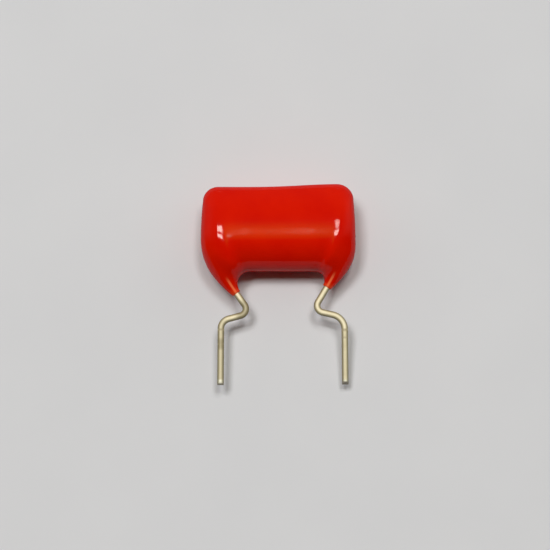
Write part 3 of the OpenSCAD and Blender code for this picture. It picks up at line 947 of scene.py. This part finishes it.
# %% [markdown]
# ## The table
# The part lies on a plain pale sheet. It is a large flat square, pale grey with a faint mottle. Its
# colour leans to blue a little, because the lamps are warm and the sheet has to look neutral.

# %% Lay the pale floor
FLOOR_HALF = 0.6
FLOOR_GREY, FLOOR_PALE = (0.660, 0.675, 0.755, 1), (0.680, 0.695, 0.775, 1)
MOTTLE_SCALE = 60.0


def paper_finish():
    material, nodes = new_material("pale_floor")
    mottle = spread(nodes, noise(nodes, object_place(nodes), MOTTLE_SCALE, detail=4.0))
    colour = blend_colours(nodes, mottle, FLOOR_GREY, FLOOR_PALE)
    surface(nodes, {"Base Color": colour, "Roughness": 0.8})
    return material


floor_mesh = bpy.data.meshes.new("floor")
floor_corners = [(x * FLOOR_HALF, y * FLOOR_HALF, 0) for x, y in ((-1, -1), (1, -1), (1, 1), (-1, 1))]
floor_mesh.from_pydata(floor_corners, [], [(0, 1, 2, 3)])
floor_mesh.materials.append(paper_finish())
floor = new_object("floor", floor_mesh)
print("floor side, m:", 2 * FLOOR_HALF)

# %% [markdown]
# ## The lamps
# Two pairs of soft panels hang nearly overhead, one pair to each side. The gloss mirrors them as the
# paired bright spots near both ends of the body, and they cast the soft shadows on both sides of the
# wires. A mirror image depends on angles alone, so a panel is placed by its angles from straight up
# and sized by the angles that it spans, all as the part sees them, in degrees.

# %% Hang the panels
PANEL_DISTANCE = 1.0
PANEL_POWER = 116.0
PANEL_COLOUR = (1.0, 0.98, 0.90)


def angle_span(degrees):
    return 2 * PANEL_DISTANCE * math.tan(math.radians(degrees) / 2)


def panel(name, across, along, width, depth, share):
    """A soft panel that faces the part, with a share of the usual power for its area."""
    lamp = bpy.data.lights.new(name, "AREA")
    lamp.shape = "RECTANGLE"
    lamp.size, lamp.size_y = angle_span(width), angle_span(depth)
    lamp.energy = share * PANEL_POWER * lamp.size * lamp.size_y
    lamp.color = PANEL_COLOUR
    way = Vector((math.tan(math.radians(across)), math.tan(math.radians(along)), 1)).normalized()
    side_way = (Vector((1, 0, 0)) - way * way.x).normalized()
    holder = new_object(name, lamp)
    holder.location = way * PANEL_DISTANCE
    holder.rotation_euler = Matrix((side_way, way.cross(side_way), way)).transposed().to_euler()


panel("left_far_panel", across=-11.5, along=12.7, width=12.3, depth=5.8, share=1.0)
panel("left_near_panel", across=-13.3, along=4.7, width=12.0, depth=4.6, share=1.0)
panel("right_far_panel", across=7.0, along=17.0, width=7.0, depth=6.6, share=0.65)
panel("right_near_panel", across=7.2, along=9.0, width=11.5, depth=6.0, share=0.85)

# %% [markdown]
# ## The walls of the room
# What the gloss shows besides the lamps is the room, which is the scene's world. Its walls are dim,
# so the red keeps its depth. They are paler low down, less so on the far side, and paler on both
# sides, most on the right. The near side, where the leads point, is nearly black. Places in the room
# are the three parts of a direction, each from -1 to 1: across, along and up.

# %% Shade the walls
HIGH_WALL = 0.1
LOW_GAIN, LOW_RANGE = 0.24, (0.9, 0.5)
FAR_LOSS, FAR_RANGE = -0.5, (0.5, 0.8)
RIGHT_GAIN, RIGHT_RANGE = 0.3, (0.2, 0.8)
LEFT_GAIN, LEFT_RANGE = 0.12, (-0.2, -0.8)
DARKEST_WALL, NEAR_RANGE = 0.01, (-0.22, 0.15)


def wall_level(nodes, across, along, up):
    not_far = nodes.math("MULTIPLY_ADD", nodes.smooth(along, *FAR_RANGE), FAR_LOSS, 1.0)
    low = nodes.math("MULTIPLY", nodes.smooth(up, *LOW_RANGE), not_far)
    wall = nodes.math("MULTIPLY_ADD", low, LOW_GAIN, HIGH_WALL)
    with_right = nodes.math("MULTIPLY_ADD", nodes.smooth(across, *RIGHT_RANGE), RIGHT_GAIN, wall)
    with_left = nodes.math("MULTIPLY_ADD", nodes.smooth(across, *LEFT_RANGE), LEFT_GAIN, with_right)
    return nodes.math("MULTIPLY_ADD", nodes.smooth(along, *NEAR_RANGE), with_left, DARKEST_WALL)


print("darkest wall:", DARKEST_WALL)

# %% [markdown]
# ## The glow and the windows
# A soft warm glow overhead is mirrored as the broad band between the bright spots, and two dim windows
# low on the far side as faint glints at the top corners. Each is a spot that fades to its rim, so no
# hard edge shows in the gloss.

# %% Add the glow and the windows
GLOW_LEVEL = 1.8
GLOW_MIDDLE = 0.178
GLOW_HALF_W, GLOW_FAR, GLOW_NEAR = 0.12, 0.17, 0.37
WINDOW_LEVEL = 1.6
WINDOW_X, WINDOW_UP = 0.125, 0.17
WINDOW_HALF_W, WINDOW_HALF_H = 0.09, 0.07


def soft_spot(nodes, shares, on_this_half):
    """1 in the middle of a spot and 0 at its rim, only where the given part of the way is positive."""
    spot = nodes.smooth(nodes.vector("LENGTH", nodes.joined(*shares)), 1.0, 0.0)
    return nodes.math("MULTIPLY", spot, nodes.math("GREATER_THAN", on_this_half, 0.0))


def glow_share(nodes, across, along, up):
    from_middle = nodes.math("SUBTRACT", along, GLOW_MIDDLE)
    side = nodes.math("DIVIDE", across, GLOW_HALF_W)
    far = nodes.math("DIVIDE", nodes.math("MAXIMUM", from_middle, 0.0), GLOW_FAR)
    near = nodes.math("DIVIDE", nodes.math("MINIMUM", from_middle, 0.0), GLOW_NEAR)
    return soft_spot(nodes, (side, far, near), up)


def window_share(nodes, across, along, up):
    from_window = nodes.math("SUBTRACT", nodes.math("ABSOLUTE", across), WINDOW_X)
    side = nodes.math("DIVIDE", from_window, WINDOW_HALF_W)
    rise = nodes.math("DIVIDE", nodes.math("SUBTRACT", up, WINDOW_UP), WINDOW_HALF_H)
    return soft_spot(nodes, (side, rise), along)


print("levels of the glow and the windows:", GLOW_LEVEL, WINDOW_LEVEL)

# %% [markdown]
# ## The light of the room
# Walls, windows and glow add up to one level for each direction. The colour is that of the walls, and
# it turns warmer by the share that the glow has in that level.

# %% Light the room
WALL_COLOUR = (1.0, 0.95, 0.82, 1)
GLOW_COLOUR = (1.0, 0.88, 0.04, 1)


def room_light():
    world = bpy.data.worlds.new("room")
    world.use_nodes = True
    world.node_tree.nodes.clear()
    nodes = Nodes(world.node_tree)
    way = nodes.parts(nodes.add("ShaderNodeTexCoord").outputs["Generated"])
    glow = nodes.math("MULTIPLY", glow_share(nodes, *way), GLOW_LEVEL)
    walls = nodes.math("MULTIPLY_ADD", window_share(nodes, *way), WINDOW_LEVEL, wall_level(nodes, *way))
    level = nodes.math("ADD", glow, walls)
    colour = blend_colours(nodes, nodes.math("DIVIDE", glow, level), WALL_COLOUR, GLOW_COLOUR)
    sky = nodes.add("ShaderNodeBackground", {"Color": colour, "Strength": level})
    nodes.add("ShaderNodeOutputWorld", {0: sky.outputs[0]})
    return world


bpy.context.scene.world = room_light()
bpy.context.scene.view_settings.view_transform = "Standard"
print("world:", bpy.context.scene.world.name)

# %% [markdown]
# ## Camera
# The photograph looks almost straight down, tipped a little towards the leads, from about a hand's
# length away. The scale of the picture fixes the lens, and the place of the part in the picture fixes
# where the camera points.

# %% Set up the camera
IMAGE_SIDE = 550
PIXELS_PER_METRE = 8330
PART_CENTRE_PIXEL = (278.2, 284.5)
VIEW_DISTANCE = 0.230
VIEW_TILT = math.radians(10)
SENSOR = 36.0
NEAREST_SEEN = 0.01

camera = bpy.data.cameras.new("camera")
camera.sensor_width = SENSOR
camera.lens = SENSOR * VIEW_DISTANCE * PIXELS_PER_METRE / IMAGE_SIDE
camera.clip_start = NEAREST_SEEN
back = Vector((0, -math.sin(VIEW_TILT), math.cos(VIEW_TILT)))
upward = Vector((0, math.cos(VIEW_TILT), math.sin(VIEW_TILT)))
aim = Vector((0, 0, MID_Z))
aim.x += (IMAGE_SIDE / 2 - PART_CENTRE_PIXEL[0]) / PIXELS_PER_METRE
aim += upward * (PART_CENTRE_PIXEL[1] - IMAGE_SIDE / 2) / PIXELS_PER_METRE
holder = new_object("camera", camera)
holder.location = aim + back * VIEW_DISTANCE
holder.rotation_euler = (VIEW_TILT, 0, 0)
bpy.context.scene.camera = holder
print("lens, mm:", round(camera.lens, 1))
